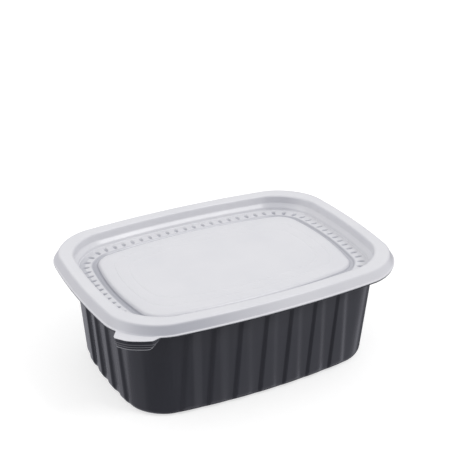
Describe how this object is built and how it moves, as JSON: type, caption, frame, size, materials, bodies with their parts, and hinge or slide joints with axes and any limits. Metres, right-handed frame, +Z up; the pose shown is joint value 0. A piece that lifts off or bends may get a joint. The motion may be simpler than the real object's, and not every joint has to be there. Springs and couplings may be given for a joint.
{
  "type": "disposable soup container",
  "caption": "Rectangular black plastic soup tub with rounded corners and ribbed walls, closed by a milky press-fit lid with a corner pull tab.",
  "frame": {"origin": "middle of the tub's flat base, on the surface it stands on", "axes": "+X along the length, +Y across the width, +Z up; the pull tab is on the corner at -X and -Y"},
  "size_m": [0.1922, 0.1408, 0.0696],
  "materials": {
    "tub_plastic": "black polypropylene, satin gloss",
    "lid_plastic": "milky translucent polypropylene, glossy"
  },
  "bodies": {
    "root": {"tub": "tub_plastic", "lid": "lid_plastic"}
  },
  "joints": []
}
